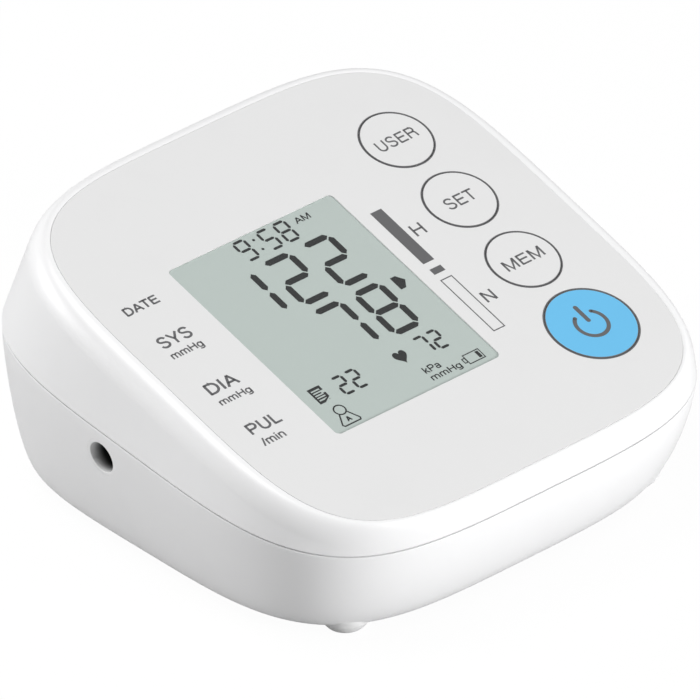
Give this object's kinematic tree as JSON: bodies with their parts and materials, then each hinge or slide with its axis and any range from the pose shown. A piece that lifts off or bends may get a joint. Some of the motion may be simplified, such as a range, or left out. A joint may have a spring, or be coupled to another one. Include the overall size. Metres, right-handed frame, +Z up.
{
  "type": "upper-arm blood pressure monitor",
  "caption": "Desktop blood pressure monitor: sloping display face, round keys, side air socket for an upper-arm cuff, and a battery door underneath.",
  "frame": {"origin": "on the table, under the middle of the case", "axes": "+X to the user's right, +Y to the back, +Z up"},
  "size_m": [0.1362, 0.1346, 0.0678],
  "materials": {
    "white_shell": "satin moulded, pure white",
    "grey_panel": "fine satin, printed",
    "clear_lens": "clear, polished",
    "display_cell": "grey-green reflective cell",
    "grey_frame": "moulded",
    "blue_key": "satin, light blue",
    "grey_key": "fine satin",
    "black_part": "moulded",
    "circuit_board": "solder mask",
    "white_part": "moulded",
    "steel": "plated",
    "motor_steel": "plated can",
    "copper": "enamelled wire",
    "hose_rubber": "milky silicone",
    "dark_rubber": "soft rubber",
    "white_rubber": "soft, matt",
    "cell_jacket": "printed jacket",
    "red_lead": "insulated wire",
    "black_lead": "insulated wire"
  },
  "bodies": {
    "case": {"upper_cover": "white_shell", "lower_case": "white_shell", "face_panel": "grey_panel", "display_window": "clear_lens", "lcd_glass": "display_cell", "lcd_frame": "grey_frame", "lcd_contacts": "dark_rubber", "switch_bodies": "black_part", "main_board": "circuit_board", "processor": "black_part", "capacitors": "black_part", "buzzer": "black_part", "pressure_sensor": "white_part", "board_headers": "white_part", "small_screws": "steel", "pump_motor": "motor_steel", "pump_head": "grey_frame", "pump_sleeve": "dark_rubber", "pump_clamp": "white_part", "valve_frame": "steel", "valve_coil": "copper", "air_manifold": "white_part", "cuff_socket": "white_part", "socket_hose": "hose_rubber", "valve_hose": "hose_rubber", "pump_hose": "hose_rubber", "sensor_hose": "hose_rubber", "battery_cells": "cell_jacket", "battery_springs": "steel", "battery_contacts": "steel", "rubber_feet": "white_rubber", "case_screws": "steel", "motor_leads": "red_lead", "valve_leads": "black_lead", "battery_leads": "red_lead"},
    "user_key": {"user_button": "grey_key", "user_plunger": "black_part"},
    "set_key": {"set_button": "grey_key", "set_plunger": "black_part"},
    "memory_key": {"memory_button": "grey_key", "memory_plunger": "black_part"},
    "power_key": {"power_button": "blue_key", "power_plunger": "black_part"},
    "door": {"battery_door": "white_shell"},
    "rotor": {"motor_rotor": "steel"},
    "valve_core": {"valve_plunger": "steel"}
  },
  "joints": [
    {"name": "user_press", "type": "slide", "parent": "case", "child": "user_key", "axis": [0, 0.279, -0.9603], "range_m": [0, 0.0005], "stiffness_N_per_m": 2500},
    {"name": "set_press", "type": "slide", "parent": "case", "child": "set_key", "axis": [0, 0.279, -0.9603], "range_m": [0, 0.0005], "stiffness_N_per_m": 2500},
    {"name": "memory_press", "type": "slide", "parent": "case", "child": "memory_key", "axis": [0, 0.279, -0.9603], "range_m": [0, 0.0005], "stiffness_N_per_m": 2500},
    {"name": "power_press", "type": "slide", "parent": "case", "child": "power_key", "axis": [0, 0.279, -0.9603], "range_m": [0, 0.0005], "stiffness_N_per_m": 2500},
    {"name": "door_hinge", "type": "hinge", "parent": "case", "child": "door", "pos_m": [0, -0.0426, 0.0037], "axis": [-1, 0, 0], "range_deg": [0, 75]},
    {"name": "rotor_spin", "type": "hinge", "parent": "case", "child": "rotor", "pos_m": [0, 0.042, 0.0198], "axis": [1, 0, 0], "continuous": true},
    {"name": "valve_stroke", "type": "slide", "parent": "case", "child": "valve_core", "axis": [1, 0, 0], "range_m": [0, 0.0008], "stiffness_N_per_m": 400}
  ]
}
